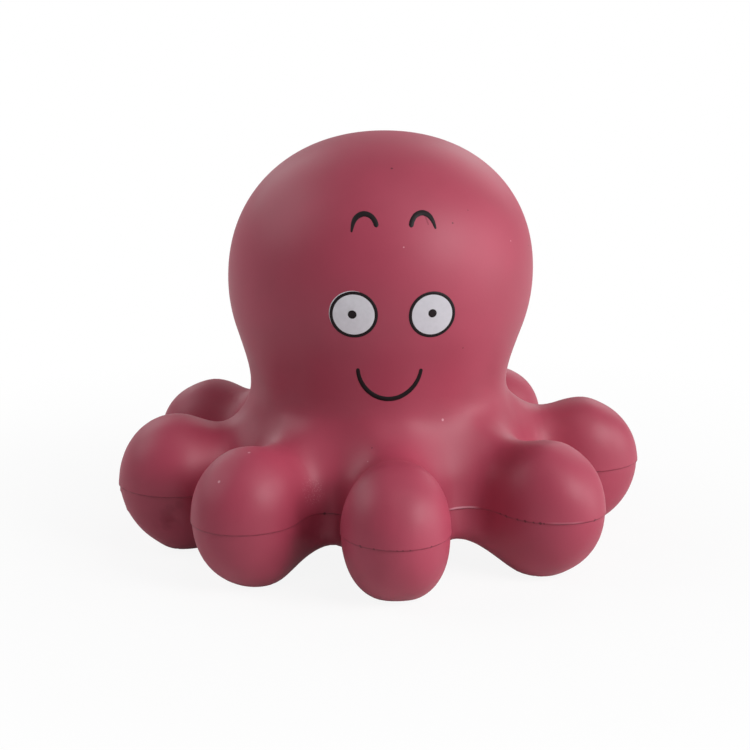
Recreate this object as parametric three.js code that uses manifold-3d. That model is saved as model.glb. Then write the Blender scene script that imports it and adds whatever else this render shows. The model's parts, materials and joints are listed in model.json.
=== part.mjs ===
// Octopus stress ball: a squeeze toy of soft foam, a round head on a body with eight bulb-ended arms.
// Millimetres, +Z up, the table at Z = 0, the printed face towards -Y. Left and right are the viewer's.
// The foam is one casting on the real toy. Here it is parted at the sections where it bends: at the waist,
// and at the root of each arm.
import * as THREE from "three";
import { mergeVertices } from "three/addons/utils/BufferGeometryUtils.js";
import Module from "manifold-3d";

const wasm = await Module();
wasm.setup();

// Head: an egg with a flat crown above its widest section and a longer taper below it
const HEAD_RADIUS = 22.95;
const HEAD_CENTRE_Z = 40.45;
const HEAD_CROWN = 21.2;
const HEAD_TAPER = 23.4;
const CROWN_EXPONENT = 2.15;
const TAPER_EXPONENT = 2;
const HEAD_LEAN_DEG = 1.57;
const HEAD_OFFSET_X = -0.18;

// Body: a round-edged drum under the head, clear of the table, whose side slants out towards its underside
const BODY_RADIUS = 23.2;
const BODY_SLANT = 0.2;
const BODY_UNDERSIDE_Z = 5.2;
const BODY_UNDERSIDE_ROUND = 1.8;
const BODY_SHOULDER_Z = 19.2;
const BODY_SHOULDER_ROUND = 5.9;
const NECK_FILLET = 15.4;

// Arms: a short shank that ends in a bulb, which leans in under the body below the mould's seam, and the
// azimuth of each arm from the face, towards the viewer's right
const ARM_RING_RADIUS = 31.6;
const BULB_REACH = 8.85;
const BULB_HALF_WIDTH = 7.4;
const BULB_HALF_HEIGHT = 9.85;
const BULB_EXPONENT = 2.4;
const BULB_LEAN = 0.105;
const SEAM_Z = 9.8;
const FOOT_FLAT_DEPTH = 0.5;
const SHANK_HALF_WIDTH = 3.4;
const SHANK_HALF_HEIGHT = 7.4;
const SHANK_Z = 9.9;
const SHANK_START = 19.0;
const BULB_FILLET = 4.3;
const ARM_FILLET = 6.3;
const WEB_SHARPNESS = 1.6;
const ARM_NAMES = ["front", "front_right", "right", "back_right", "back", "back_left", "left", "front_left"];
const ARM_AZIMUTHS_DEG = [0, 45.7, 94.8, 140.4, 187.7, 235.1, 275.7, 318.8];

// Where the foam is parted into stiff pieces and the slices that bend between them
const PARTING_GAP = 0.3;
const WAIST_ABOVE_ARMS = 0.6;
const WAIST_HEIGHT = 8.6;
const BULB_SETBACK = 3.1;
const ROOT_LENGTH = 5.2;

// Face print: flat artwork pressed on along Y, so its sizes are measured on the XZ plane
const PRINT_LIFT = 0.15;
const PRINT_THICKNESS = 0.25;
const PRINT_SPACING = 0.12;
const EYE_X = { left: -5.5, right: 5.63 };
const EYE_Z = { left: 38.84, right: 38.65 };
const EYE_RADIUS = 3.42;
const EYE_LINE = 0.46;
const PUPIL_X = { left: -5.71, right: 5.66 };
const PUPIL_Z = 38.87;
const PUPIL_RADIUS = 0.62;
const BROW_INNER_X = { left: -2.2, right: 2.78 };
const BROW_INNER_Z = { left: 51.31, right: 51.24 };
const BROW_WIDTH = 3.45;
const BROW_RISE = { left: 1.35, right: 1.47 };
const BROW_DROP = { left: 1.15, right: 0.75 };
const BROW_STROKE = 0.72;
const BROW_TIP_STROKE = 0.34;
const SMILE_X = -0.28;
const SMILE_Z = 30.84;
const SMILE_HALF_WIDTH = 4.55;
const SMILE_DEPTH = 5.04;
const SMILE_END_DEG = 7;
const SMILE_TURN_DEG = -1.5;
const SMILE_STROKE = 0.7;
const SMILE_TIP_STROKE = 0.54;

// Facets
const HEAD_FACETS = 36;
const BODY_FACETS = 64;
const BODY_RINGS = 22;
const ARM_FACETS = 18;
const PRINT_FACETS = 72;

// Heights and distances that follow from the sizes
const BULB_Z = BULB_HALF_HEIGHT - FOOT_FLAT_DEPTH;
const ARM_TOP = Math.max(BULB_Z + BULB_HALF_HEIGHT, SHANK_Z + SHANK_HALF_HEIGHT);
const WAIST_FROM = ARM_TOP + WAIST_ABOVE_ARMS;
const WAIST_TO = WAIST_FROM + WAIST_HEIGHT;
const HEAD_FROM = WAIST_TO + PARTING_GAP;
const BODY_TO = WAIST_FROM - PARTING_GAP;
const BULB_FROM = ARM_RING_RADIUS - BULB_SETBACK;
const ROOT_TO = BULB_FROM - PARTING_GAP;
const ROOT_FROM = ROOT_TO - ROOT_LENGTH;
const BODY_SIDE = ROOT_FROM - PARTING_GAP;
const FAR = 2 * (HEAD_CENTRE_Z + HEAD_CROWN + ARM_RING_RADIUS + BULB_REACH);

const up = new THREE.Vector3(0, 0, 1);
const arms = ARM_NAMES.map((name, index) => {
  const azimuth = THREE.MathUtils.degToRad(ARM_AZIMUTHS_DEG[index]);
  const out = new THREE.Vector3(Math.sin(azimuth), -Math.cos(azimuth), 0);
  const side = new THREE.Vector3(Math.cos(azimuth), Math.sin(azimuth), 0);
  return { name, azimuth, out, side };
});

// Smooth union of two distances, with a fillet of the given breadth between them
function blended(a, b, breadth) {
  const share = THREE.MathUtils.clamp(0.5 + (b - a) / (2 * breadth), 0, 1);
  return THREE.MathUtils.lerp(b, a, share) - breadth * share * (1 - share);
}

function headDistance(p) {
  const rise = p.z - HEAD_CENTRE_Z;
  const x = p.x - HEAD_OFFSET_X - Math.tan(THREE.MathUtils.degToRad(HEAD_LEAN_DEG)) * rise;
  const half = rise > 0 ? HEAD_CROWN : HEAD_TAPER;
  const power = rise > 0 ? CROWN_EXPONENT : TAPER_EXPONENT;
  const across = Math.max(Math.hypot(x, p.y) / HEAD_RADIUS, 1e-6);
  const along = Math.max(Math.abs(rise) / half, 1e-6);
  const sum = across ** power + along ** power;
  const slope = Math.hypot(across ** (power - 1) / HEAD_RADIUS, along ** (power - 1) / half);
  return (sum ** (1 / power) - 1) / Math.max(sum ** (1 / power - 1) * slope, 1e-3);
}

function drumDistance(p) {
  const middle = (BODY_UNDERSIDE_Z + BODY_SHOULDER_Z) / 2;
  const half = (BODY_SHOULDER_Z - BODY_UNDERSIDE_Z) / 2;
  const radius = BODY_RADIUS - BODY_SLANT * (p.z - middle);
  const round = p.z > middle ? BODY_SHOULDER_ROUND : BODY_UNDERSIDE_ROUND;
  const across = (Math.hypot(p.x, p.y) - radius) / Math.hypot(1, BODY_SLANT) + round;
  const along = Math.abs(p.z - middle) - half + round;
  const inside = Math.min(Math.max(across, along), 0);
  return inside + Math.hypot(Math.max(across, 0), Math.max(along, 0)) - round;
}

function ellipseDistance(x, halfX, z, halfZ) {
  const scaled = Math.hypot(x / halfX, z / halfZ);
  const slope = Math.hypot(x / halfX ** 2, z / halfZ ** 2);
  return (scaled * (scaled - 1)) / Math.max(slope, 1e-6);
}

// A ball that is round along the arm, and a little squarer across it
function bulbDistance(ahead, aside, rise) {
  const n = BULB_EXPONENT;
  const u = Math.max(Math.abs(ahead) / BULB_REACH, 1e-4);
  const v = Math.max(Math.abs(aside) / BULB_HALF_WIDTH, 1e-4);
  const w = Math.max(Math.abs(rise) / BULB_HALF_HEIGHT, 1e-4);
  const across = (v ** n + w ** n) ** (1 / n);
  const scaled = Math.hypot(u, across);
  const pull = across ** (2 - n);
  const slope = Math.hypot(
    u / BULB_REACH,
    (pull * v ** (n - 1)) / BULB_HALF_WIDTH,
    (pull * w ** (n - 1)) / BULB_HALF_HEIGHT,
  );
  return (scaled * (scaled - 1)) / Math.max(slope, 1e-3);
}

function armDistance(p, arm) {
  const reach = p.dot(arm.out);
  const aside = p.dot(arm.side);
  const lean = BULB_LEAN * Math.max(SEAM_Z - p.z, 0);
  const bulb = bulbDistance(reach - ARM_RING_RADIUS + lean, aside, p.z - BULB_Z);
  const round = ellipseDistance(aside, SHANK_HALF_WIDTH, p.z - SHANK_Z, SHANK_HALF_HEIGHT);
  const beyond = Math.max(SHANK_START - reach, reach - ARM_RING_RADIUS, 0);
  const shank = Math.hypot(Math.max(round, 0), beyond) + Math.min(round, 0);
  return blended(bulb, shank, BULB_FILLET);
}

// Distance from the outer surface of the whole toy, negative inside the foam
function foamDistance(p) {
  const trunk = blended(headDistance(p), drumDistance(p), NECK_FILLET);
  let swell = 0;
  for (const arm of arms) {
    const added = trunk - blended(trunk, armDistance(p, arm), ARM_FILLET);
    swell += Math.max(added, 0) ** WEB_SHARPNESS;
  }
  return trunk - swell ** (1 / WEB_SHARPNESS);
}

// The same surface, kept within one arm's share of the ring: halfway to each neighbour, and under the waist
function armShareDistance(index) {
  const { azimuth, side } = arms[index];
  const turn = 2 * Math.PI;
  const next = arms[(index + 1) % arms.length].azimuth;
  const last = arms[(index + arms.length - 1) % arms.length].azimuth;
  const ahead = THREE.MathUtils.euclideanModulo(next - azimuth, turn) / 2;
  const behind = THREE.MathUtils.euclideanModulo(azimuth - last, turn) / 2;
  const out = arms[index].out;
  return (p) => {
    const toNext = p.dot(side) * Math.cos(ahead) - p.dot(out) * Math.sin(ahead);
    const toLast = -p.dot(side) * Math.cos(behind) - p.dot(out) * Math.sin(behind);
    const walls = Math.max(toNext, toLast) + PARTING_GAP / 2;
    return Math.max(foamDistance(p), walls, p.z - BODY_TO);
  };
}

// Distance along a ray from a point inside to where the surface first reaches the given level
function reachOf(distance, from, direction, level = 0) {
  const p = new THREE.Vector3();
  const at = (t) => distance(p.copy(direction).multiplyScalar(t).add(from)) - level;
  let near = 0;
  let far = 0.5;
  while (at(far) < 0 && far < FAR) {
    near = far;
    far += 0.5;
  }
  for (let i = 0; i < 24; i++) {
    const middle = (near + far) / 2;
    if (at(middle) < 0) near = middle;
    else far = middle;
  }
  return near;
}

// A ball whose points are drawn out from its centre to the surface. Flatness gathers them round its rim.
function drawnBall(distance, centre, facets, rings, pole, { level = 0, flatness = 1 } = {}) {
  const ball = new THREE.SphereGeometry(1, facets, rings).scale(1, flatness, 1);
  ball.applyQuaternion(new THREE.Quaternion().setFromUnitVectors(new THREE.Vector3(0, 1, 0), pole));
  const points = ball.getAttribute("position");
  const direction = new THREE.Vector3();
  for (let i = 0; i < points.count; i++) {
    direction.fromBufferAttribute(points, i).normalize();
    const reach = reachOf(distance, centre, direction, level);
    direction.multiplyScalar(reach).add(centre);
    points.setXYZ(i, direction.x, direction.y, direction.z);
  }
  return ball;
}

// A short bar along an axis, from one flat end to the other, whose sides are drawn out to the surface
function drawnBar(distance, start, axis, length, facets, steps) {
  const bar = new THREE.CylinderGeometry(1, 1, length, facets, steps);
  bar.translate(0, length / 2, 0);
  bar.applyQuaternion(new THREE.Quaternion().setFromUnitVectors(new THREE.Vector3(0, 1, 0), axis));
  bar.translate(start.x, start.y, start.z);
  const points = bar.getAttribute("position");
  const point = new THREE.Vector3();
  for (let i = 0; i < points.count; i++) {
    point.fromBufferAttribute(points, i);
    const along = point.clone().sub(start).dot(axis);
    const middle = start.clone().addScaledVector(axis, along);
    const direction = point.sub(middle);
    if (direction.length() < 0.5) continue;
    direction.normalize();
    const reach = reachOf(distance, middle, direction);
    direction.multiplyScalar(reach).add(middle);
    points.setXYZ(i, direction.x, direction.y, direction.z);
  }
  return bar;
}

function solidOf(geometry) {
  const bare = geometry.clone();
  bare.deleteAttribute("normal");
  bare.deleteAttribute("uv");
  const merged = mergeVertices(bare, 1e-4);
  const vertProperties = new Float32Array(merged.getAttribute("position").array);
  const triVerts = new Uint32Array(merged.index.array);
  return new wasm.Manifold(new wasm.Mesh({ numProp: 3, vertProperties, triVerts }));
}

// Everything on the far side of a plane, seen along its normal
function beyond(point, normal) {
  const block = new THREE.BoxGeometry(FAR, FAR, FAR);
  block.translate(0, 0, FAR / 2);
  block.applyQuaternion(new THREE.Quaternion().setFromUnitVectors(up, normal));
  block.translate(point.x, point.y, point.z);
  return solidOf(block);
}

function geometryOf(solid) {
  const { numProp, vertProperties, triVerts } = solid.getMesh();
  const count = vertProperties.length / numProp;
  const points = new Float32Array(count * 3);
  for (let i = 0; i < count; i++) points.set(vertProperties.subarray(i * numProp, i * numProp + 3), i * 3);
  const geometry = new THREE.BufferGeometry();
  geometry.setAttribute("position", new THREE.BufferAttribute(points, 3));
  geometry.setIndex(new THREE.BufferAttribute(new Uint32Array(triVerts), 1));
  geometry.computeVertexNormals();
  return geometry;
}

const toy = new THREE.Group();
toy.name = "octopus_stress_ball";

function addPiece(name, geometry, colour, roughness) {
  const material = new THREE.MeshStandardMaterial({ color: colour, roughness, metalness: 0 });
  material.name = name;
  const mesh = new THREE.Mesh(geometry, material);
  mesh.name = name;
  toy.add(mesh);
}

const FOAM = [0xac4458, 0.6];
const INK_BLACK = [0x231c1f, 0.5];
const INK_WHITE = [0xd6d8e2, 0.5];

// Head, waist and body
const headCentre = new THREE.Vector3(HEAD_OFFSET_X, 0, HEAD_CENTRE_Z);
const headBall = solidOf(drawnBall(foamDistance, headCentre, HEAD_FACETS, (HEAD_FACETS * 2) / 3, up));
const head = headBall.intersect(beyond(new THREE.Vector3(0, 0, HEAD_FROM), up));
addPiece("head", geometryOf(head), ...FOAM);

const waistFoot = new THREE.Vector3(0, 0, WAIST_FROM);
addPiece("waist", drawnBar(foamDistance, waistFoot, up, WAIST_HEIGHT, HEAD_FACETS, 5), ...FOAM);

const bodyDistance = (p) => {
  const stub = Math.max(...arms.map(({ out }) => p.dot(out))) - BODY_SIDE;
  return Math.max(foamDistance(p), stub - 2 * PARTING_GAP, p.z - BODY_TO - 2 * PARTING_GAP);
};
const bodyCentre = new THREE.Vector3(0, 0, SHANK_Z);
const flatness = (BODY_SHOULDER_Z - BODY_UNDERSIDE_Z) / (2 * BODY_RADIUS);
let body = solidOf(drawnBall(bodyDistance, bodyCentre, BODY_FACETS, BODY_RINGS, up, { flatness }));
body = body.subtract(beyond(new THREE.Vector3(0, 0, BODY_TO), up));
for (const { out } of arms) {
  body = body.subtract(beyond(out.clone().multiplyScalar(BODY_SIDE), out));
}
addPiece("body", geometryOf(body), ...FOAM);

// Arms: the slice that bends, and the bulb with its flat foot
const table = beyond(new THREE.Vector3(0, 0, 0), up);
arms.forEach(({ name, out }, index) => {
  const distance = armShareDistance(index);
  const rootStart = out.clone().multiplyScalar(ROOT_FROM).setZ(SHANK_Z);
  const root = solidOf(drawnBar(distance, rootStart, out, ROOT_LENGTH, ARM_FACETS, 2));
  addPiece(name + "_arm_root", geometryOf(root.intersect(table)), ...FOAM);

  const bulbCentre = out.clone().multiplyScalar(ARM_RING_RADIUS).setZ(BULB_Z);
  const ball = solidOf(drawnBall(distance, bulbCentre, ARM_FACETS, (ARM_FACETS * 2) / 3, out));
  const bulb = ball.intersect(beyond(out.clone().multiplyScalar(BULB_FROM), out)).intersect(table);
  addPiece(name + "_arm_bulb", geometryOf(bulb), ...FOAM);
});

// Face print: a thin layer over the front of the head, cut to each outline
const printRings = (PRINT_FACETS * 2) / 3;
const [coated, bare] = [PRINT_LIFT + PRINT_THICKNESS, PRINT_LIFT].map((level) =>
  solidOf(drawnBall(foamDistance, headCentre, PRINT_FACETS, printRings, up, { level })),
);
const layer = coated.subtract(bare);

function addPrint(name, shape, ink) {
  const prism = new THREE.ExtrudeGeometry(shape, { depth: FAR / 2, bevelEnabled: false, curveSegments: 16 });
  prism.rotateX(Math.PI / 2);
  addPiece(name, geometryOf(layer.intersect(solidOf(prism))), ...ink);
}

function discShape(x, z, radius) {
  return new THREE.Shape().absarc(x, z, radius, 0, 2 * Math.PI, false);
}

function withHole(shape, x, z, radius) {
  shape.holes.push(new THREE.Path().absarc(x, z, radius, 0, 2 * Math.PI, true));
  return shape;
}

// A pen stroke along a curve, of one width at its middle and another at each of its round ends
function strokeShape(curve, startStroke, middleStroke, endStroke, steps = 20) {
  const near = [];
  const far = [];
  for (let i = 0; i <= steps; i++) {
    const t = i / steps;
    const point = curve.getPointAt(t);
    const tangent = curve.getTangentAt(t);
    const normal = new THREE.Vector2(-tangent.y, tangent.x);
    const ends = t < 0.5 ? startStroke : endStroke;
    const half = THREE.MathUtils.lerp(middleStroke, ends, Math.abs(2 * t - 1) ** 2) / 2;
    near.push(point.clone().addScaledVector(normal, half));
    far.push(point.clone().addScaledVector(normal, -half));
  }
  const cap = (t, stroke, sign) => {
    const along = curve.getTangentAt(t).multiplyScalar(sign);
    const aside = new THREE.Vector2(-along.y, along.x);
    return [45, 90, 135].map((degrees) => {
      const angle = THREE.MathUtils.degToRad(degrees);
      const point = curve.getPointAt(t).addScaledVector(along, (Math.sin(angle) * stroke) / 2);
      return point.addScaledVector(aside, (Math.cos(angle) * stroke) / 2);
    });
  };
  return new THREE.Shape([...near, ...cap(1, endStroke, 1), ...far.reverse(), ...cap(0, startStroke, -1)]);
}

for (const side of ["left", "right"]) {
  const inside = EYE_RADIUS - EYE_LINE;
  const ring = withHole(discShape(EYE_X[side], EYE_Z[side], EYE_RADIUS), EYE_X[side], EYE_Z[side], inside);
  addPrint(side + "_eye_ring", ring, INK_BLACK);
  const white = discShape(EYE_X[side], EYE_Z[side], inside - PRINT_SPACING);
  addPrint(
    side + "_eye_white",
    withHole(white, PUPIL_X[side], PUPIL_Z, PUPIL_RADIUS + PRINT_SPACING),
    INK_WHITE,
  );
  addPrint(side + "_pupil", discShape(PUPIL_X[side], PUPIL_Z, PUPIL_RADIUS), INK_BLACK);

  const outward = Math.sign(BROW_INNER_X[side]);
  const browPoints = [
    [0, 0],
    [0.05, 0.35],
    [0.2, 0.8],
    [0.47, 1],
    [0.75, 0.7],
    [0.93, 0.18],
  ].map(([across, rise]) => [BROW_WIDTH * across, BROW_RISE[side] * rise]);
  browPoints.push([BROW_WIDTH, -BROW_DROP[side]]);
  const arch = browPoints.map(
    ([across, rise]) => new THREE.Vector2(BROW_INNER_X[side] + outward * across, BROW_INNER_Z[side] + rise),
  );
  const brow = strokeShape(new THREE.SplineCurve(arch), BROW_STROKE, BROW_STROKE, BROW_TIP_STROKE);
  addPrint(side + "_brow", brow, INK_BLACK);
}

const smileEnd = THREE.MathUtils.degToRad(SMILE_END_DEG);
const smileLine = new THREE.EllipseCurve(
  SMILE_X,
  SMILE_Z,
  SMILE_HALF_WIDTH,
  SMILE_DEPTH,
  Math.PI + smileEnd,
  2 * Math.PI - smileEnd,
  false,
  THREE.MathUtils.degToRad(SMILE_TURN_DEG),
);
addPrint("smile", strokeShape(smileLine, SMILE_TIP_STROKE, SMILE_STROKE, SMILE_TIP_STROKE), INK_BLACK);

export default toy;
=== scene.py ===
# Octopus stress ball: the dressed model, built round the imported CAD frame.
# Lengths are in millimetres until a mesh is made, +Z is up and the printed face looks towards -Y.
import itertools
import json
import math

import bmesh
import bpy
import numpy as np
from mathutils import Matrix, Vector


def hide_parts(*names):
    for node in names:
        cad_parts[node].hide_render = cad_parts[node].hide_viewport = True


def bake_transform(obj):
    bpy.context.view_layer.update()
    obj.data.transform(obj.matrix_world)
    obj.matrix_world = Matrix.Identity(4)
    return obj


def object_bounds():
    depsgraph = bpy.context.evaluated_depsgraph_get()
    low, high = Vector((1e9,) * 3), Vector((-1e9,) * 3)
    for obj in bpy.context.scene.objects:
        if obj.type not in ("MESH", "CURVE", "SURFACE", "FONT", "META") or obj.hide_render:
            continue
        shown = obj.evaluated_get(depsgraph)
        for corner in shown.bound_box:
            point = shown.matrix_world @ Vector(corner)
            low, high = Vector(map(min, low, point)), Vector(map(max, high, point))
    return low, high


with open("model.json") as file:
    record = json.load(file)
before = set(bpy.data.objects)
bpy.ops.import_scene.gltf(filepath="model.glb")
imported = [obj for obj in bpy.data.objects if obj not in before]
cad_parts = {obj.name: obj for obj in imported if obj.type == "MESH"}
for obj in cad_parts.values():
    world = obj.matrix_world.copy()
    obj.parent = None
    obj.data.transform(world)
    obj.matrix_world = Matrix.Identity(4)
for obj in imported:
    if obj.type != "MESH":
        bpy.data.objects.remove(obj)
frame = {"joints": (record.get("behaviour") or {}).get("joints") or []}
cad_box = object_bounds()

MM = 0.001

# Shape of the foam, as in the CAD source
HEAD_RADIUS = 22.95
HEAD_CENTRE_Z = 40.45
HEAD_CROWN = 21.2
HEAD_TAPER = 23.4
CROWN_EXPONENT = 2.15
TAPER_EXPONENT = 2.0
HEAD_LEAN_DEG = 1.57
HEAD_OFFSET_X = -0.18
BODY_RADIUS = 23.2
BODY_SLANT = 0.2
BODY_UNDERSIDE_Z = 5.2
BODY_UNDERSIDE_ROUND = 1.8
BODY_SHOULDER_Z = 19.2
BODY_SHOULDER_ROUND = 5.9
NECK_FILLET = 15.4
ARM_RING_RADIUS = 31.6
BULB_REACH = 8.85
BULB_HALF_WIDTH = 7.4
BULB_HALF_HEIGHT = 9.85
BULB_EXPONENT = 2.4
BULB_LEAN = 0.105
SEAM_Z = 9.8
FOOT_FLAT_DEPTH = 0.5
FOOT_EDGE = 0.45
SHANK_HALF_WIDTH = 3.4
SHANK_HALF_HEIGHT = 7.4
SHANK_Z = 9.9
SHANK_START = 19.0
BULB_FILLET = 4.3
ARM_FILLET = 6.3
WEB_SHARPNESS = 1.6

# How single arms of this casting depart from that shape
ARM_TURN_DEG = {"left_arm": 3.6, "front_left_arm": 0.6}
BULB_WIDER = {"left_arm": 0.38, "front_left_arm": -0.4}
BULB_TALLER = {"left_arm": 0.38, "front_left_arm": 0.3}
SHANK_LOWER = {"left_arm": 1.8}

# Parting line of the mould: the lower half is set in from the upper one, which ends in a small lip
SEAM_LIP = 0.08
SEAM_LIP_FADE = 0.5
SEAM_SET_IN = 0.1
SEAM_SET_IN_FADE = 2.5
SEAM_LEDGE = 0.05
SEAM_CUTS = [0.16, 0.0, -SEAM_LEDGE, -0.2]
# How uneven the step is round the toy: share of it, number of waves, phase
SEAM_WAVES = [(0.25, 5, 0.6), (0.15, 17, 2.0)]
# The fine line along it: heights off the seam where it fades, noise where it breaks, and its shares there
SEAM_LINE_FADE = 0.05, 0.17
SEAM_LINE_BREAKS = 0.3, 0.65
SEAM_LINE_SHARES = 0.25, 1.0

# The net's step over the skin, and where the skin is parted into pieces
SKIN_STEP = 0.8
ARM_CUT = 24.6
ARM_TOP_LIMIT = 21.5
HEAD_CUT_Z = 25.5

# Marks on the skin: a place near each one, and its radius
MARK_FADE = 0.5, 1.25  # shares of the radius between which a mark fades
DARK_SPECKS = [
    ((0.5, -13.4, 58.2), 0.2),
    ((8.8, -18.4, 51.1), 0.15),
    ((11.2, -16.0, 52.5), 0.1),
    ((21.3, -7.0, 45.6), 0.12),
    ((10.4, -18.9, 33.0), 0.12),
    ((19.0, -4.5, 22.8), 0.16),
    ((-3.0, -22.2, 19.4), 0.12),
]
PALE_SPECKS = [
    ((1.6, -21.6, 48.3), 0.12),
    ((17.9, -12.8, 47.4), 0.12),
    ((7.8, -18.3, 22.2), 0.2),
    ((-3.8, -23.8, 17.9), 0.12),
    ((-20.5, -25.3, 19.3), 0.22),
    ((-24.6, -28.6, 16.4), 0.22),
]
# Pits along the seam, each painted dark as the shade inside it
SEAM_PIT_SHADES = [
    ((-5.5, -38.0, 9.8), 0.25),
    ((-3.7, -39.3, 9.8), 0.2),
    ((-0.7, -40.3, 9.8), 0.16),
    ((0.1, -40.4, 9.8), 0.18),
    ((1.1, -40.3, 9.8), 0.16),
    ((4.1, -39.0, 9.8), 0.22),
    ((15.4, -24.9, 9.8), 0.2),
    ((16.1, -25.9, 9.8), 0.24),
    ((17.5, -27.6, 9.8), 0.2),
    ((18.5, -28.4, 9.8), 0.24),
    ((19.6, -29.2, 9.8), 0.18),
    ((20.5, -29.6, 9.8), 0.26),
    ((21.0, -29.8, 9.8), 0.18),
    ((28.4, -28.7, 9.8), 0.25),
    ((-9.8, -22.9, 9.8), 0.25),
]
SCAR_ENDS = (4.75, -19.0, 52.4), (5.2, -19.6, 51.2)
SCAR_RADIUS = 0.14
SCAR_SPOTS = 7
SCUFF = ((-11.6, -23.4, 13.4), 2.2)
SCUFF_GRAINS = 0.55, 0.7
# Painted highlights (glints) on the seam's lip, where it would catch the light: each has a strength too,
# and they lie between two heights above the seam
GLINT_HEIGHTS = 0.02, 0.3
SEAM_GLINTS = [
    ((10.2, -22.1, 10.0), 2.3, 0.45),
    ((24.1, -30.3, 10.0), 2.6, 0.14),
]

# A dent low on the left arm, and painted shade along the crease at its edge
DENT_PLACE = (-31.7, -10.7, 6.8)
DENT_RADIUS = 1.6
DENT_DEPTH = 0.6
DENT_CREASE_SHADE = [
    ((-31.1, -10.7, 8.8), 0.7),
    ((-32.0, -10.7, 8.35), 0.85),
    ((-32.5, -10.65, 7.6), 0.95),
    ((-32.6, -10.6, 6.6), 0.95),
    ((-32.5, -10.4, 5.65), 0.85),
]

# Face print
INK_LIFT = 0.03
INK_BURIED = 0.05
INK_EDGE = 0.06
INK_EDGE_LIMIT = 0.3  # of the width of a narrow line
FACE_SEARCH_Y = -45.0, -8.0  # depths between which the skin of the face lies
EYE_X = {"left": -5.5, "right": 5.63}
EYE_Z = {"left": 38.84, "right": 38.65}
EYE_RADIUS = 3.42
EYE_LINE = 0.54
EYE_WHITE_RADIUS = 3.37
WHITE_SHIFT = {"left": (-0.13, 0.1), "right": (0.0, 0.0)}
PUPIL_X = {"left": -5.71, "right": 5.66}
PUPIL_Z = 38.87
PUPIL_RADIUS = 0.66
BROW_INNER_X = {"left": -2.2, "right": 2.78}
BROW_INNER_Z = {"left": 51.31, "right": 51.24}
BROW_WIDTH = 3.45
BROW_RISE = {"left": 1.35, "right": 1.47}
BROW_DROP = {"left": 0.92, "right": 0.57}
BROW_STROKE = 0.78
BROW_TIP_STROKE = 0.38
BROW_ARCH = [(0, 0), (0.05, 0.35), (0.2, 0.8), (0.47, 1), (0.74, 0.74), (0.905, 0.22)]
SMILE_X = -0.28
SMILE_Z = 30.84
SMILE_HALF_WIDTH = 4.55
SMILE_DEPTH = 5.04
SMILE_END_DEG = 7
SMILE_TURN_DEG = -1.5
SMILE_STROKE = 0.78
SMILE_TIP_STROKE = 0.62

# Camera, fitted to the photograph's outline
VIEW_AZIMUTH_DEG = -3.83
VIEW_ELEVATION_DEG = 14.0
VIEW_DISTANCE = 330.0
VIEW_TARGET = (-0.78, 3.34, 23.65)
FOCAL_LENGTH = 102.59
SENSOR_WIDTH = 36.0
CLIP_START = 10.0

# How white the backdrop looks to each kind of ray, and how white the floor by the feet does
WORLD_WHITE = {"Is Camera Ray": 1.0, "Is Glossy Ray": 0.5, "Is Transmission Ray": 1.0}
FLOOR_WHITE = {"Is Camera Ray": 0.9, "Is Glossy Ray": 0.2, "Is Transmission Ray": 0.9}
AMBIENT_STRENGTH = 0.04

# Floor, in metres: half its width, its depth below the feet, and where it grows as white as the backdrop
FLOOR_HALF = 3.0
FLOOR_DEPTH = 0.0001
FLOOR_WHITENS = 0.04, 0.12
PAPER_COLOUR = (0.9, 0.9, 0.9, 1)
WHITE = (1, 1, 1, 1)

# Lights: name, azimuth and elevation in degrees, width and height in metres, watts
SOFTBOX_DISTANCE = 0.7
SOFTBOX_AIM_Z = 0.03
SOFTBOXES = [
    ("key", 50, 30, (0.32, 0.32), 3.15),
    ("right", 81, 9, (0.35, 0.45), 2.05),
    ("top", 30, 68, (0.35, 0.35), 0.5),
    ("left", -100, 36, (0.45, 0.45), 1.5),
    ("back_left", -150, 28, (0.35, 0.35), 0.65),
    ("back_right", 150, 25, (0.35, 0.35), 0.65),
]


def linear(red, green, blue):
    """A colour as written on screen, 0 to 255, for a shader's socket."""
    values = [c / 255 for c in (red, green, blue)]
    return (*[c / 12.92 if c <= 0.04045 else ((c + 0.055) / 1.055) ** 2.4 for c in values], 1.0)


# Colours, and how strongly each kind of mark is laid on, painted highlight and shade among them
BLACK_INK = (30, 22, 25)
# White ink, lighter on the left eye than on the right: the difference is painted light on the left eye
WHITE_INK_AND_PAINTED_LIGHT = (226, 223, 230), (206, 203, 210)
FOAM_COLOURS = linear(164, 64, 84), linear(172, 67, 89)
SEAM_COLOUR = linear(104, 34, 52)
SCAR_COLOUR = linear(118, 22, 52)
# Dark: for dark specks, and the painted shade in pits and pinholes
DARK_COLOUR = linear(84, 26, 42)
# Painted shade for the crease of the dent
DENT_SHADE_COLOUR = linear(96, 20, 36)
# Pale: for pale specks, the scuff, and the painted highlights on the seam's lip
PALE_COLOUR = linear(226, 170, 184)
SEAM_STRENGTH = 0.5
DARK_STRENGTH = 0.85
DENT_SHADE_STRENGTH = 0.16
PINHOLE_SHADE_STRENGTH = 0.6
SCAR_STRENGTH = 0.7
PALE_STRENGTH = 0.6
SCUFF_STRENGTH = 0.28

# Surfaces, with noise scales per millimetre
NOISE_MIDDLE = 0.3, 0.7
CLOUD_SCALE = 0.07
GRAIN_SCALE = 2.2
GRAIN_STRENGTH = 0.15
GRAIN_DEPTH = 0.05
SEAM_SCALE = 0.9
SCUFF_SCALE = 5.0
FOAM_ROUGHNESS = 0.45, 0.51
FOAM_SPECULAR = 0.37
INK_SCALE = 1.5
INK_ROUGHNESS = 0.46, 0.54
INK_SPECULAR = 0.15
INK_THIN_SHARE = 0.12
INK_THIN_TONE = 0.75
# Pinholes over the back of the toy, each painted dark as the shade inside it
PINHOLE_DENSITY = 0.22
PINHOLE_SIZE = 0.035
PINHOLE_RARITY = 0.8
PINHOLES_FROM_Y = 0.0, 6.0

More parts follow.
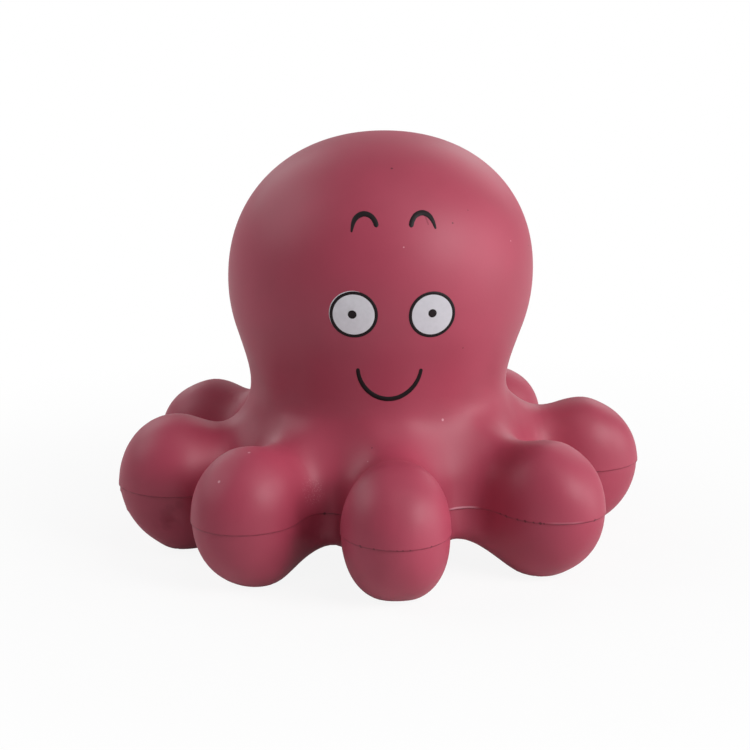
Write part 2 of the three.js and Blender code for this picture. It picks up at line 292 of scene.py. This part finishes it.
# Each arm's name, directions and sizes, from the hinge at its root
arms = []
for joint in frame["joints"]:
    if joint["name"].endswith("_arm_flex"):
        name = joint["child"]
        turn = math.atan2(joint["pos_m"][1], joint["pos_m"][0]) + math.radians(ARM_TURN_DEG.get(name, 0))
        arms.append({
            "name": name,
            "out": np.array([math.cos(turn), math.sin(turn), 0.0]),
            "side": np.array([-math.sin(turn), math.cos(turn), 0.0]),
            "half_width": BULB_HALF_WIDTH + BULB_WIDER.get(name, 0),
            "half_height": BULB_HALF_HEIGHT + BULB_TALLER.get(name, 0),
            "shank_z": SHANK_Z - SHANK_LOWER.get(name, 0),
        })


def blended(a, b, breadth):
    """Smooth union of two distances, with a fillet of the given breadth between them."""
    share = np.clip(0.5 + (b - a) / (2 * breadth), 0, 1)
    return b + (a - b) * share - breadth * share * (1 - share)


def head_distance(p):
    """The head: round from above, fuller at the crown than at the taper below, and leaning a little."""
    rise = p[:, 2] - HEAD_CENTRE_Z
    x = p[:, 0] - HEAD_OFFSET_X - math.tan(math.radians(HEAD_LEAN_DEG)) * rise
    half = np.where(rise > 0, HEAD_CROWN, HEAD_TAPER)
    power = np.where(rise > 0, CROWN_EXPONENT, TAPER_EXPONENT)
    across = np.maximum(np.hypot(x, p[:, 1]) / HEAD_RADIUS, 1e-6)
    upward = np.maximum(np.abs(rise) / half, 1e-6)
    total = across**power + upward**power
    slope = np.hypot(across ** (power - 1) / HEAD_RADIUS, upward ** (power - 1) / half)
    return (total ** (1 / power) - 1) / np.maximum(total ** (1 / power - 1) * slope, 1e-3)


def drum_distance(p):
    """The body: a low drum with a slanted side, rounded more at its shoulder than underneath."""
    middle = (BODY_UNDERSIDE_Z + BODY_SHOULDER_Z) / 2
    half = (BODY_SHOULDER_Z - BODY_UNDERSIDE_Z) / 2
    radius = BODY_RADIUS - BODY_SLANT * (p[:, 2] - middle)
    rounding = np.where(p[:, 2] > middle, BODY_SHOULDER_ROUND, BODY_UNDERSIDE_ROUND)
    across = (np.hypot(p[:, 0], p[:, 1]) - radius) / math.hypot(1, BODY_SLANT) + rounding
    upward = np.abs(p[:, 2] - middle) - half + rounding
    inside = np.minimum(np.maximum(across, upward), 0)
    return inside + np.hypot(np.maximum(across, 0), np.maximum(upward, 0)) - rounding


def ellipse_distance(offsets, halves):
    scaled = np.sqrt(sum((o / h) ** 2 for o, h in zip(offsets, halves)))
    slope = np.sqrt(sum((o / h**2) ** 2 for o, h in zip(offsets, halves)))
    return scaled * (scaled - 1) / np.maximum(slope, 1e-6)


def bulb_distance(ahead, aside, rise, half_width, half_height):
    """A ball that is round along the arm, and a little squarer across it."""
    n = BULB_EXPONENT
    u = np.maximum(np.abs(ahead) / BULB_REACH, 1e-4)
    v = np.maximum(np.abs(aside) / half_width, 1e-4)
    w = np.maximum(np.abs(rise) / half_height, 1e-4)
    across = (v**n + w**n) ** (1 / n)
    scaled = np.hypot(u, across)
    pull = across ** (2 - n)
    slope = np.sqrt(
        (u / BULB_REACH) ** 2
        + (pull * v ** (n - 1) / half_width) ** 2
        + (pull * w ** (n - 1) / half_height) ** 2
    )
    return scaled * (scaled - 1) / np.maximum(slope, 1e-3)


def arm_distance(p, arm):
    """An arm: a bulb that leans in below the seam, on a shank with an upright oval section."""
    reach, aside, z = p @ arm["out"], p @ arm["side"], p[:, 2]
    ahead = reach - ARM_RING_RADIUS + BULB_LEAN * np.maximum(SEAM_Z - z, 0)
    rise = z + FOOT_FLAT_DEPTH - arm["half_height"]
    bulb = bulb_distance(ahead, aside, rise, arm["half_width"], arm["half_height"])
    rounded = ellipse_distance([aside, z - arm["shank_z"]], [SHANK_HALF_WIDTH, SHANK_HALF_HEIGHT])
    beyond = np.maximum(np.maximum(SHANK_START - reach, reach - ARM_RING_RADIUS), 0)
    shank = np.hypot(np.maximum(rounded, 0), beyond) + np.minimum(rounded, 0)
    return blended(bulb, shank, BULB_FILLET)


def foam_distance(p):
    """Distance from the toy's skin, negative inside, with the feet pressed flat by the table."""
    trunk = blended(head_distance(p), drum_distance(p), NECK_FILLET)
    swell = 0.0
    for arm in arms:
        added = trunk - blended(trunk, arm_distance(p, arm), ARM_FILLET)
        swell = swell + np.maximum(added, 0) ** WEB_SHARPNESS
    foam = trunk - swell ** (1 / WEB_SHARPNESS)
    return -blended(-foam, p[:, 2], FOOT_EDGE)


def slope_of(p, reach=0.02):
    """Direction in which the distance from the skin grows, taken over a short reach."""
    steps = reach * np.eye(3)
    return np.stack([foam_distance(p + s) - foam_distance(p - s) for s in steps], 1) / (2 * reach)


def settled(p, rounds=3):
    """The points moved on to the skin."""
    for _ in range(rounds):
        slope = slope_of(p)
        p = p - slope * (foam_distance(p) / np.sum(slope**2, axis=1))[:, None]
    return p


def skin_net(margin=3):
    """Points and outward quads of a net over the skin, with a point in each grid cell that it crosses."""
    low, high = (np.array(corner) / MM for corner in cad_box)
    low = low - margin * SKIN_STEP
    low[2] = SEAM_Z - SKIN_STEP * math.ceil((SEAM_Z - low[2]) / SKIN_STEP)
    counts = np.ceil((high - low) / SKIN_STEP).astype(int) + margin + 1
    axes = [low[i] + SKIN_STEP * np.arange(counts[i]) for i in range(3)]
    grid = np.stack(np.meshgrid(*axes, indexing="ij"), axis=-1).reshape(-1, 3)
    inside = (foam_distance(grid) < 0).reshape(counts)
    ends = slice(None, -1), slice(1, None)
    corners = sum(inside[corner].astype(int) for corner in itertools.product(ends, repeat=3))
    crossed = (corners > 0) & (corners < 8)
    number = np.full(crossed.shape, -1)
    number[crossed] = np.arange(crossed.sum())
    points = low + SKIN_STEP * (np.argwhere(crossed) + 0.5)
    quads = []
    for axis in range(3):
        before = np.take(inside, range(counts[axis] - 1), axis)
        after = np.take(inside, range(1, counts[axis]), axis)
        for edges, turn in ((np.argwhere(before & ~after), 1), (np.argwhere(~before & after), -1)):
            around = []
            for first, second in [(0, 0), (-1, 0), (-1, -1), (0, -1)][::turn]:
                cell = edges.copy()
                cell[:, (axis + 1) % 3] += first
                cell[:, (axis + 2) % 3] += second
                around.append(number[tuple(cell.T)])
            quads.append(np.stack(around, axis=1))
    return points, np.concatenate(quads)


def evened(points, quads, rounds=6, pull=0.5):
    """The net's points drawn towards the middle of their neighbours, and kept on the skin."""
    start, end = np.concatenate([quads[:, [i, (i + 1) % 4]] for i in range(4)]).T
    count = np.bincount(start, minlength=len(points))[:, None]
    points = settled(points)
    for _ in range(rounds):
        total = np.stack([np.bincount(start, points[end, i], len(points)) for i in range(3)], axis=1)
        points = settled(points + pull * (total / count - points), 2)
    return points


def cut(bm, point, normal, wanted=None):
    """Adds edges to the mesh where a plane crosses it, or crosses those of its faces that are wanted."""
    point, normal = Vector(point), Vector(normal)
    crossing = []
    for face in bm.faces:
        sides = [(v.co - point).dot(normal) for v in face.verts]
        if min(sides) < 0 < max(sides) and (wanted is None or wanted(face.calc_center_median())):
            crossing.append(face)
    edges = {e for face in crossing for e in face.edges}
    verts = {v for face in crossing for v in face.verts}
    bmesh.ops.bisect_plane(bm, geom=[*crossing, *edges, *verts], dist=1e-5, plane_co=point, plane_no=normal)


def arm_of(p):
    """Index of the arm that a point leans towards most, and how far out along it the point is."""
    reaches = [arm["out"] @ np.array(p) for arm in arms]
    index = int(np.argmax(reaches))
    return index, reaches[index]


def step_at_seam(bm):
    """Sets the lower half of the casting in from the upper half, at the mould's parting line."""
    points = np.array([v.co for v in bm.verts])
    flat = slope_of(points) * [1, 1, 0]
    flat /= np.maximum(np.linalg.norm(flat, axis=1), 1e-3)[:, None]
    above = points[:, 2] - SEAM_Z
    turn = np.arctan2(points[:, 0], -points[:, 1])
    uneven = np.ones(len(points))
    for share, waves, phase in SEAM_WAVES:
        uneven += share * np.sin(waves * turn + phase)
    lip = SEAM_LIP * np.exp(-np.maximum(above, 0) / SEAM_LIP_FADE)
    set_in = SEAM_SET_IN * uneven * np.exp(np.minimum(above, 0) / SEAM_SET_IN_FADE)
    moved = points + flat * np.where(above > -SEAM_LEDGE / 2, lip, -set_in)[:, None]
    for vert, place in zip(bm.verts, moved):
        vert.co = place


def press_dent(bm):
    """Presses the small dent into the left arm."""
    bm.normal_update()
    middle = Vector(settled(np.array([DENT_PLACE]))[0])
    for vert in bm.verts:
        share = (vert.co - middle).length / DENT_RADIUS
        if share < 1:
            vert.co -= vert.normal * DENT_DEPTH * (1 - share**2) ** 2


def skin_pieces():
    """The skin as face lists by piece, in one mesh: the head, the body and each arm."""
    points, quads = skin_net()
    points = evened(points, quads)
    bm = bmesh.new()
    verts = [bm.verts.new(p) for p in points]
    for quad in quads:
        bm.faces.new([verts[i] for i in quad])
    for height in SEAM_CUTS:
        cut(bm, (0, 0, SEAM_Z + height), (0, 0, 1))
    cut(bm, (0, 0, HEAD_CUT_Z), (0, 0, 1))
    for index, arm in enumerate(arms):
        cut(bm, arm["out"] * ARM_CUT, arm["out"], lambda c: c.z < ARM_TOP_LIMIT and arm_of(c)[0] == index)
    pieces = {"head": [], "body": [], **{arm["name"]: [] for arm in arms}}
    for face in bm.faces:
        centre = face.calc_center_median()
        index, reach = arm_of(centre)
        if centre.z > HEAD_CUT_Z:
            pieces["head"].append(face)
        elif reach > ARM_CUT and centre.z < ARM_TOP_LIMIT:
            pieces[arms[index]["name"]].append(face)
        else:
            pieces["body"].append(face)
    step_at_seam(bm)
    press_dent(bm)
    bm.normal_update()
    return bm, pieces


def add_object(name, mesh, material):
    mesh.materials.append(material)
    made = bpy.data.objects.new(name, mesh)
    bpy.context.scene.collection.objects.link(made)
    return made


def keep_rest(mesh):
    """Stores each point's place at rest, in millimetres, so that marks stay on the skin when it bends."""
    places = np.array([v.co for v in mesh.vertices]) / MM
    attribute = mesh.attributes.new("rest", "FLOAT_VECTOR", "POINT")
    attribute.data.foreach_set("vector", places.astype(np.float32).ravel())


def foam_piece(name, faces, material):
    """A closed piece of foam from some of the skin's faces, shaded as one with its neighbours."""
    bm = bmesh.new()
    made, normals = {}, {}
    for face in faces:
        for vert in face.verts:
            if vert not in made:
                made[vert] = bm.verts.new(vert.co * MM)
                normals[made[vert]] = vert.normal.copy()
    for face in faces:
        bm.faces.new([made[v] for v in face.verts]).smooth = True
    rims = [e for e in bm.edges if e.is_boundary]
    bmesh.ops.holes_fill(bm, edges=rims, sides=0)
    bm.normal_update()
    corners = [normals[v] if face.smooth else face.normal.copy() for face in bm.faces for v in face.verts]
    mesh = bpy.data.meshes.new(name)
    bm.to_mesh(mesh)
    bm.free()
    mesh.normals_split_custom_set(corners)
    keep_rest(mesh)
    piece = add_object(name, mesh, material)
    return piece


def squeeze_with_head(piece):
    """Bakes the piece's placement into its mesh."""
    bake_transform(piece)


def front_of(x, z, rounds=40):
    """Points of the skin that face the viewer, at the given x and z."""
    near, far = (np.full(x.shape, y) for y in FACE_SEARCH_Y)
    for _ in range(rounds):
        middle = (near + far) / 2
        outside = foam_distance(np.stack([x, middle, z], axis=1)) > 0
        near, far = np.where(outside, middle, near), np.where(outside, far, middle)
    return np.stack([x, far, z], axis=1)


def film(node, columns, material, ring=False, tube=True):
    """A thin layer of ink on the face, from columns of (x, z, height above the skin) across it.

    A ring's last column meets its first one, and a tube's last row its first one.
    """
    columns = np.array(columns, float)
    count, rows, _ = columns.shape
    flat = columns.reshape(-1, 3)
    points = front_of(flat[:, 0], flat[:, 1])
    normals = slope_of(points)
    normals /= np.linalg.norm(normals, axis=1)[:, None]
    points = (points + normals * flat[:, 2:]) * MM
    bm = bmesh.new()
    verts = [bm.verts.new(p) for p in points]
    for i in range(count if ring else count - 1):
        for j in range(rows if tube else rows - 1):
            a, b = i * rows, (i + 1) % count * rows
            k = (j + 1) % rows
            bm.faces.new([verts[a + j], verts[a + k], verts[b + k], verts[b + j]]).smooth = True
    bmesh.ops.remove_doubles(bm, verts=bm.verts, dist=1e-5 * MM)
    bmesh.ops.recalc_face_normals(bm, faces=bm.faces)
    mesh = bpy.data.meshes.new(node + "_print")
    bm.to_mesh(mesh)
    bm.free()
    keep_rest(mesh)
    piece = add_object(node + "_print", mesh, material)
    squeeze_with_head(piece)
    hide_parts(node)


def section(low, high, lift):
    """Rows across a band of ink, over its top and back under it: place across, and height."""
    edge = min(INK_EDGE / max(high - low, 1e-6), INK_EDGE_LIMIT)
    over = [(0, -INK_BURIED), (edge, lift), (0.5, lift), (1 - edge, lift), (1, -INK_BURIED)]
    under = [(0.5, -2 * INK_BURIED)]
    return [(low + (high - low) * share, height) for share, height in over + under]


def turned(x, z, rows, count):
    """Columns all round a centre, from rows of (distance from it, height above the skin)."""
    columns = []
    for i in range(count):
        angle = 2 * math.pi * i / count
        columns.append([(x + r * math.cos(angle), z + r * math.sin(angle), h) for r, h in rows])
    return columns


def ring_columns(x, z, inner, outer, lift, count=96):
    return turned(x, z, section(inner, outer, lift), count)


def disc_columns(x, z, radius, lift, count=72, steps=6):
    top = [(radius * i / steps, lift) for i in range(steps)]
    edge = [(radius - INK_EDGE, lift), (radius, -INK_BURIED)]
    under = [(radius / 2, -2 * INK_BURIED), (0, -2 * INK_BURIED)]
    return turned(x, z, top + edge + under, count)


def stroke_columns(line, start_stroke, middle_stroke, end_stroke, lift, steps=40, cap_steps=6, reach=0.05):
    """A pen stroke along a line of close points, full in its middle, with round ends."""
    lengths = np.concatenate([[0], np.cumsum(np.linalg.norm(np.diff(line, axis=0), axis=1))])

    def at(length):
        return np.array([np.interp(length, lengths, line[:, i]) for i in range(2)])

    # Share of the line, half strokes past its end, and what is left of the width there
    turns = [math.pi / 2 * i / cap_steps for i in range(1, cap_steps + 1)]
    places = [(0.0, -math.sin(t), math.cos(t)) for t in reversed(turns)]
    places += [(share, 0.0, 1.0) for share in np.linspace(0, 1, steps + 1)]
    places += [(1.0, math.sin(t), math.cos(t)) for t in turns]
    columns = []
    for share, past, narrowing in places:
        length = share * lengths[-1]
        along = at(length + reach) - at(length - reach)
        tangent = along / np.linalg.norm(along)
        aside = np.array([-tangent[1], tangent[0]])
        tip = start_stroke if share < 0.5 else end_stroke
        half = (middle_stroke + (tip - middle_stroke) * abs(2 * share - 1) ** 2) / 2
        middle = at(length) + tangent * past * half
        edge = half * max(narrowing, 1e-3)
        rows = section(-edge, edge, lift * narrowing)
        columns.append([(*(middle + aside * offset), height) for offset, height in rows])
    return columns


def curve_through(points, steps=24):
    """A smooth line of close points through the given ones."""
    points = np.array(points, float)
    padded = np.concatenate([points[:1], points, points[-1:]])
    line = []
    for i in range(len(points) - 1):
        a, b, c, d = padded[i : i + 4]
        leaving, arriving = (c - a) / 2, (d - b) / 2
        cubed = 2 * b - 2 * c + leaving + arriving
        squared = -3 * b + 3 * c - 2 * leaving - arriving
        for t in np.arange(steps) / steps:
            line.append(cubed * t**3 + squared * t**2 + leaving * t + b)
    return np.array(line + [points[-1]])


def add_node(tree, kind, inputs=None, **settings):
    """A shader node with its settings, and its inputs set or linked."""
    made = tree.nodes.new("ShaderNode" + kind)
    for key, value in settings.items():
        setattr(made, key, value)
    for key, value in (inputs or {}).items():
        if isinstance(value, bpy.types.NodeSocket):
            tree.links.new(value, made.inputs[key])
        else:
            made.inputs[key].default_value = value
    return made


def new_material(name):
    material = bpy.data.materials.new(name)
    material.use_nodes = True
    tree = material.node_tree
    shader = tree.nodes["Principled BSDF"]
    rest = add_node(tree, "Attribute", attribute_name="rest").outputs["Vector"]
    return material, tree, shader, rest


def between(tree, value, low, high, at_low=0.0, at_high=1.0):
    """A smooth change from one number to another while a value goes from low to high."""
    inputs = {"Value": value, "From Min": low, "From Max": high, "To Min": at_low, "To Max": at_high}
    return add_node(tree, "MapRange", inputs, interpolation_type="SMOOTHSTEP").outputs["Result"]


def combined(tree, first, second, operation):
    return add_node(tree, "Math", {0: first, 1: second}, operation=operation).outputs["Value"]


def mixed_colour(tree, share, first, second):
    return add_node(tree, "MixRGB", {"Fac": share, "Color1": first, "Color2": second}).outputs["Color"]


def noise(tree, rest, scale, detail=3.0):
    return add_node(tree, "TexNoise", {"Vector": rest, "Scale": scale, "Detail": detail}).outputs["Fac"]


def coordinate(tree, rest, axis):
    return add_node(tree, "SeparateXYZ", {0: rest}).outputs[axis]


def spots(tree, rest, marks):
    """1 on each of the marks, which are places near the skin with a radius, and 0 away from them all."""
    total = None
    for place, radius in marks:
        middle = settled(np.array([place], float))[0]
        away = add_node(tree, "VectorMath", {0: rest, 1: middle}, operation="DISTANCE").outputs["Value"]
        fade_from, fade_to = (share * radius for share in MARK_FADE)
        spot = between(tree, away, fade_from, fade_to, 1.0, 0.0)
        total = spot if total is None else combined(tree, total, spot, "MAXIMUM")
    return total


def pinhole_shade(tree, rest):
    """Painted shade of tiny pits scattered thinly over the back of the toy."""
    cells = add_node(tree, "TexVoronoi", {"Vector": rest, "Scale": PINHOLE_DENSITY})
    hole = between(tree, cells.outputs["Distance"], 0.5 * PINHOLE_SIZE, PINHOLE_SIZE, 1.0, 0.0)
    chance = add_node(tree, "SeparateColor", {"Color": cells.outputs["Color"]}).outputs["Red"]
    few = combined(tree, chance, PINHOLE_RARITY, "GREATER_THAN")
    behind = between(tree, coordinate(tree, rest, "Y"), *PINHOLES_FROM_Y)
    return combined(tree, combined(tree, hole, few, "MULTIPLY"), behind, "MULTIPLY")


def seam_line(tree, rest):
    """A fine broken line along the mould's parting line."""
    off = combined(tree, coordinate(tree, rest, "Z"), SEAM_Z, "SUBTRACT")
    away = add_node(tree, "Math", {0: off}, operation="ABSOLUTE").outputs["Value"]
    line = between(tree, away, *SEAM_LINE_FADE, 1.0, 0.0)
    ragged = noise(tree, rest, SEAM_SCALE, detail=4.0)
    return combined(tree, line, between(tree, ragged, *SEAM_LINE_BREAKS, *SEAM_LINE_SHARES), "MULTIPLY")


def seam_glint(tree, rest, place, radius):
    """A painted highlight on a stretch of the seam's lip, where it would catch the light."""
    low, high = (SEAM_Z + height for height in GLINT_HEIGHTS)
    above = combined(tree, coordinate(tree, rest, "Z"), low, "GREATER_THAN")
    below = combined(tree, coordinate(tree, rest, "Z"), high, "LESS_THAN")
    lip = combined(tree, above, below, "MULTIPLY")
    return combined(tree, spots(tree, rest, [(place, radius)]), lip, "MULTIPLY")


def scar(tree, rest):
    """A short scratch under the arch of the right eyebrow."""
    first, last = (np.array(end) for end in SCAR_ENDS)
    shares = np.linspace(0, 1, SCAR_SPOTS)
    return spots(tree, rest, [(first + (last - first) * share, SCAR_RADIUS) for share in shares])


def scuff(tree, rest):
    """A dusting of pale grains on the web between the front arm and the front left one."""
    grains = between(tree, noise(tree, rest, SCUFF_SCALE, detail=2.0), *SCUFF_GRAINS)
    return combined(tree, spots(tree, rest, [SCUFF]), grains, "MULTIPLY")


def marks_on_foam(tree, rest):
    """What marks the foam, real marks and painted highlight and shade alike, in the order it is laid on:
    where it shows, how strongly, and its colour.
    """
    yield seam_line(tree, rest), SEAM_STRENGTH, SEAM_COLOUR
    # painted highlights on the seam's lip
    for place, radius, strength in SEAM_GLINTS:
        yield seam_glint(tree, rest, place, radius), strength, PALE_COLOUR
    # dark specks, and painted shade in the seam's pits
    yield spots(tree, rest, DARK_SPECKS + SEAM_PIT_SHADES), DARK_STRENGTH, DARK_COLOUR
    # painted shade along the crease at the dent's edge
    yield spots(tree, rest, DENT_CREASE_SHADE), DENT_SHADE_STRENGTH, DENT_SHADE_COLOUR
    # painted shade in the pinholes
    yield pinhole_shade(tree, rest), PINHOLE_SHADE_STRENGTH, DARK_COLOUR
    yield scar(tree, rest), SCAR_STRENGTH, SCAR_COLOUR
    yield spots(tree, rest, PALE_SPECKS), PALE_STRENGTH, PALE_COLOUR
    yield scuff(tree, rest), SCUFF_STRENGTH, PALE_COLOUR


def foam_material():
    material, tree, shader, rest = new_material("foam_skin")
    cloud = noise(tree, rest, CLOUD_SCALE)
    colour = mixed_colour(tree, between(tree, cloud, *NOISE_MIDDLE), *FOAM_COLOURS)
    for place, strength, paint in marks_on_foam(tree, rest):
        colour = mixed_colour(tree, combined(tree, place, strength, "MULTIPLY"), colour, paint)
    tree.links.new(colour, shader.inputs["Base Color"])
    tree.links.new(between(tree, cloud, *NOISE_MIDDLE, *FOAM_ROUGHNESS), shader.inputs["Roughness"])
    shader.inputs["Specular IOR Level"].default_value = FOAM_SPECULAR
    grain = noise(tree, rest, GRAIN_SCALE)
    inputs = {"Strength": GRAIN_STRENGTH, "Distance": GRAIN_DEPTH * MM, "Height": grain}
    tree.links.new(add_node(tree, "Bump", inputs).outputs["Normal"], shader.inputs["Normal"])
    return material


def ink_material(name, left_colour, right_colour):
    """Ink whose colour goes from the one given for the left eye to the one for the right, and is thin in
    places; where the two differ, as in the white ink, the change is painted light.
    """
    material, tree, shader, rest = new_material(name)
    # painted light where the left and right colours differ
    side = between(tree, coordinate(tree, rest, "X"), EYE_X["left"], EYE_X["right"])
    ink = mixed_colour(tree, side, linear(*left_colour), linear(*right_colour))
    cloud = noise(tree, rest, INK_SCALE)
    thin = combined(tree, between(tree, cloud, *NOISE_MIDDLE), INK_THIN_SHARE, "MULTIPLY")
    ink = mixed_colour(tree, thin, ink, linear(*[INK_THIN_TONE * c for c in left_colour]))
    tree.links.new(ink, shader.inputs["Base Color"])
    tree.links.new(between(tree, cloud, *NOISE_MIDDLE, *INK_ROUGHNESS), shader.inputs["Roughness"])
    shader.inputs["Specular IOR Level"].default_value = INK_SPECULAR
    return material


def dress_foam():
    foam = foam_material()
    whole, pieces = skin_pieces()
    head = foam_piece("head_skin", pieces["head"], foam)
    squeeze_with_head(head)
    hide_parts("head")
    body = foam_piece("body_skin", pieces["body"], foam)
    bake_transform(body)
    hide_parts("body", "waist")
    for arm in arms:
        name = arm["name"]
        piece = foam_piece(name + "_skin", pieces[name], foam)
        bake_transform(piece)
        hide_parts(name + "_root", name + "_bulb")
    whole.free()


def print_eye(side, black, white):
    x, z = EYE_X[side], EYE_Z[side]
    shift_x, shift_z = WHITE_SHIFT[side]
    disc = disc_columns(x + shift_x, z + shift_z, EYE_WHITE_RADIUS, INK_LIFT / 2)
    film(side + "_eye_white", disc, white, ring=True, tube=False)
    line = ring_columns(x, z, EYE_RADIUS - EYE_LINE, EYE_RADIUS, INK_LIFT)
    film(side + "_eye_ring", line, black, ring=True)
    dot = disc_columns(PUPIL_X[side], PUPIL_Z, PUPIL_RADIUS, INK_LIFT, count=40, steps=3)
    film(side + "_pupil", dot, black, ring=True, tube=False)


def print_brow(side, black):
    x, z = BROW_INNER_X[side], BROW_INNER_Z[side]
    outward = math.copysign(1, x)
    arch = [(BROW_WIDTH * across, BROW_RISE[side] * rise) for across, rise in BROW_ARCH]
    arch.append((BROW_WIDTH, -BROW_DROP[side]))
    line = curve_through([(x + outward * across, z + rise) for across, rise in arch])
    stroke = stroke_columns(line, BROW_STROKE, BROW_STROKE, BROW_TIP_STROKE, INK_LIFT)
    film(side + "_brow", stroke, black)


def print_smile(black, steps=120):
    ends = math.radians(SMILE_END_DEG)
    turns = np.linspace(math.pi + ends, 2 * math.pi - ends, steps)
    arc = np.stack([SMILE_HALF_WIDTH * np.cos(turns), SMILE_DEPTH * np.sin(turns)], axis=1)
    tilt = math.radians(SMILE_TURN_DEG)
    tilted = arc @ [[math.cos(tilt), math.sin(tilt)], [-math.sin(tilt), math.cos(tilt)]]
    line = tilted + [SMILE_X, SMILE_Z]
    stroke = stroke_columns(line, SMILE_TIP_STROKE, SMILE_STROKE, SMILE_TIP_STROKE, INK_LIFT, steps=60)
    film("smile", stroke, black)


def dress_face():
    black = ink_material("black_ink_print", BLACK_INK, BLACK_INK)
    white = ink_material("white_ink_and_painted_light", *WHITE_INK_AND_PAINTED_LIGHT)
    for side in ("left", "right"):
        print_eye(side, black, white)
        print_brow(side, black)
    print_smile(black)


def direction_to(azimuth_deg, elevation_deg):
    """Unit vector away from the toy: azimuth from its front to the viewer's right, and elevation."""
    azimuth, elevation = math.radians(azimuth_deg), math.radians(elevation_deg)
    flat = math.cos(elevation)
    return Vector((math.sin(azimuth) * flat, -math.cos(azimuth) * flat, math.sin(elevation)))


def add_camera():
    data = bpy.data.cameras.new("camera")
    data.sensor_width = SENSOR_WIDTH
    data.lens = FOCAL_LENGTH
    data.clip_start = CLIP_START * MM
    camera = bpy.data.objects.new("camera", data)
    back = direction_to(VIEW_AZIMUTH_DEG, VIEW_ELEVATION_DEG)
    camera.location = (Vector(VIEW_TARGET) + back * VIEW_DISTANCE) * MM
    camera.rotation_euler = (-back).to_track_quat("-Z", "Y").to_euler()
    bpy.context.scene.collection.objects.link(camera)
    bpy.context.scene.camera = camera


def add_softbox(name, azimuth_deg, elevation_deg, size, power):
    data = bpy.data.lights.new(name, "AREA")
    data.shape = "RECTANGLE"
    data.size, data.size_y = size
    data.energy = power
    lamp = bpy.data.objects.new(name, data)
    towards = direction_to(azimuth_deg, elevation_deg)
    lamp.location = towards * SOFTBOX_DISTANCE + Vector((0, 0, SOFTBOX_AIM_Z))
    lamp.rotation_euler = towards.to_track_quat("Z", "Y").to_euler()
    bpy.context.scene.collection.objects.link(lamp)


def white_share(tree, shares):
    """How white a backdrop looks to each kind of ray that shows it."""
    path = add_node(tree, "LightPath")
    parts = [combined(tree, path.outputs[kind], share, "MULTIPLY") for kind, share in shares.items()]
    return combined(tree, combined(tree, parts[0], parts[1], "MAXIMUM"), parts[2], "MAXIMUM")


def mixed_shader(tree, share, first, second):
    inputs = {0: share, 1: first.outputs[0], 2: second.outputs[0]}
    return add_node(tree, "MixShader", inputs).outputs[0]


def add_backdrop():
    world = bpy.data.worlds.new("studio")
    world.use_nodes = True
    bpy.context.scene.world = world
    tree = world.node_tree
    tree.nodes.clear()
    ambient = add_node(tree, "Background", {"Color": WHITE, "Strength": AMBIENT_STRENGTH})
    white = add_node(tree, "Background", {"Color": WHITE, "Strength": 1.0})
    surface = mixed_shader(tree, white_share(tree, WORLD_WHITE), ambient, white)
    add_node(tree, "OutputWorld", {"Surface": surface})


def floor_material():
    """White paper, a little less white by the feet, where it takes the toy's shadow."""
    material = bpy.data.materials.new("floor")
    material.use_nodes = True
    tree = material.node_tree
    tree.nodes.clear()
    paper = add_node(tree, "BsdfDiffuse", {"Color": PAPER_COLOUR})
    glow = add_node(tree, "Emission", {"Color": WHITE, "Strength": 1.0})
    place = add_node(tree, "TexCoord").outputs["Object"]
    away = add_node(tree, "VectorMath", {0: place}, operation="LENGTH").outputs["Value"]
    near, far = FLOOR_WHITENS
    shares = {}
    for kind, near_share in FLOOR_WHITE.items():
        inputs = {"Value": away, "From Min": near, "From Max": far}
        inputs |= {"To Min": near_share, "To Max": WORLD_WHITE[kind]}
        shares[kind] = add_node(tree, "MapRange", inputs).outputs["Result"]
    surface = mixed_shader(tree, white_share(tree, shares), paper, glow)
    add_node(tree, "OutputMaterial", {"Surface": surface})
    return material


def add_floor():
    signs = [(-1, -1), (1, -1), (1, 1), (-1, 1)]
    corners = [(x * FLOOR_HALF, y * FLOOR_HALF, -FLOOR_DEPTH) for x, y in signs]
    mesh = bpy.data.meshes.new("floor")
    mesh.from_pydata(corners, [], [(0, 1, 2, 3)])
    material = floor_material()
    add_object("floor", mesh, material)


add_camera()
add_backdrop()
for softbox in SOFTBOXES:
    add_softbox(*softbox)
add_floor()
dress_foam()
dress_face()
bpy.context.scene.view_settings.view_transform = "Standard"
